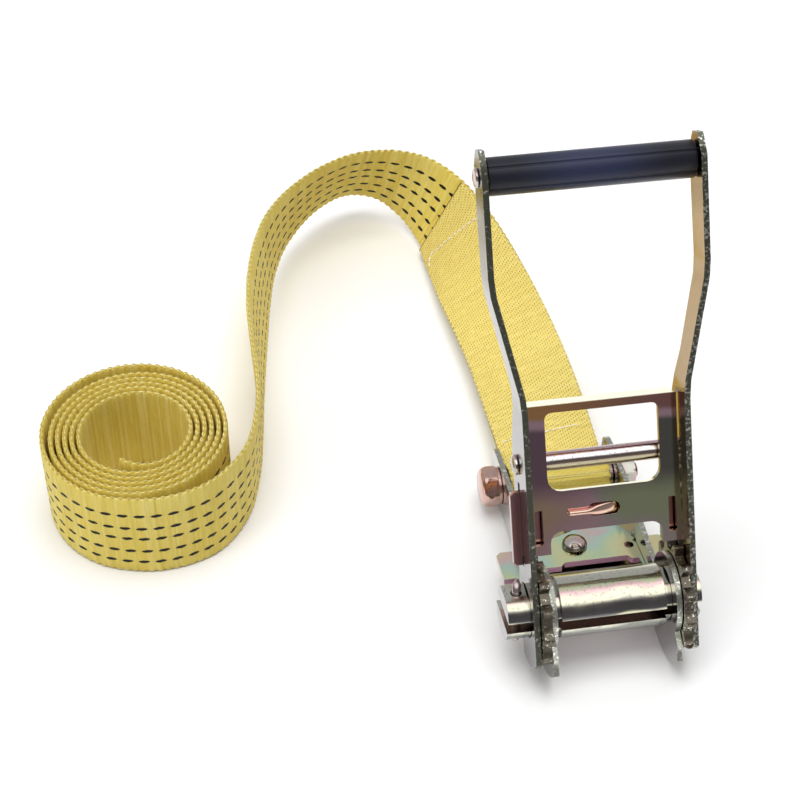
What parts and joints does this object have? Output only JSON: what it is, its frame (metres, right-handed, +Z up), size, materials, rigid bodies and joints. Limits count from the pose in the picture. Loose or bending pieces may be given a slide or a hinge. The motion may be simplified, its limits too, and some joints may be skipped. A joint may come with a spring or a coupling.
{
  "type": "ratchet tie down",
  "caption": "Long-handled webbing ratchet with slotted drum, toothed wheels, sprung pawls and a sewn-on fixed strap that ends in a standing roll.",
  "frame": {"origin": "middle of the part's footprint, on the surface that it stands on", "axes": "+Z up, +Y from the drum towards the strap's sewn end, +X along the drum, to the right seen from the drum's open side"},
  "size_m": [0.297, 0.3624, 0.2149],
  "materials": {
    "zinc_frame": "yellow zinc plating",
    "zinc_handle": "yellow zinc plating, iridescent",
    "zinc_drum": "yellow zinc plating, glossy",
    "zinc_wheel": "yellow zinc plating",
    "zinc_lock": "yellow zinc plating, iridescent",
    "zinc_pawl": "yellow zinc plating, reddish",
    "zinc_small": "zinc plating",
    "copper_zinc": "coppery zinc plating",
    "spring_steel": "plain spring wire",
    "grip_plastic": "moulded, satin",
    "webbing": "woven polyester"
  },
  "bodies": {
    "frame": {"base_frame": "zinc_frame", "anchor_bolt": "copper_zinc", "anchor_washer": "zinc_small", "anchor_nut": "zinc_small", "anchor_sleeve": "zinc_small", "lock_guide_pin": "zinc_small", "lock_spring": "spring_steel", "strap_eye": "webbing", "strap_sewn": "webbing", "strap_free": "webbing", "strap_roll": "webbing"},
    "lock": {"lock_plate": "zinc_lock"},
    "drum": {"half_shaft_upper": "zinc_drum", "half_shaft_lower": "zinc_drum", "ratchet_wheel_left": "zinc_wheel", "ratchet_wheel_right": "zinc_wheel", "cotter_pin": "spring_steel"},
    "handle": {"handle_frame": "zinc_handle", "grip": "grip_plastic", "grip_rod": "zinc_small", "finger_rod": "zinc_small", "spring_hook": "copper_zinc", "drive_spring_left": "spring_steel", "drive_spring_right": "spring_steel"},
    "drive": {"drive_pawl": "zinc_pawl"}
  },
  "joints": [
    {"name": "drum_spin", "type": "hinge", "parent": "frame", "child": "drum", "pos_m": [0.0986, -0.1541, 0.031], "axis": [1, 0, 0], "continuous": true},
    {"name": "handle_pivot", "type": "hinge", "parent": "frame", "child": "handle", "pos_m": [0.0986, -0.1541, 0.031], "axis": [1, 0, 0], "range_deg": [-60, 120]},
    {"name": "drive_pawl_slide", "type": "slide", "parent": "handle", "child": "drive", "axis": [0, 0.5, 0.866], "range_m": [-0.0045, 0.003], "stiffness_N_per_m": 1500, "deforming": ["drive_spring_left", "drive_spring_right"]},
    {"name": "lock_plate_slide", "type": "slide", "parent": "frame", "child": "lock", "axis": [0, 0.9877, -0.1564], "range_m": [-0.004, 0.0045], "stiffness_N_per_m": 1500, "deforming": ["lock_spring"]}
  ]
}
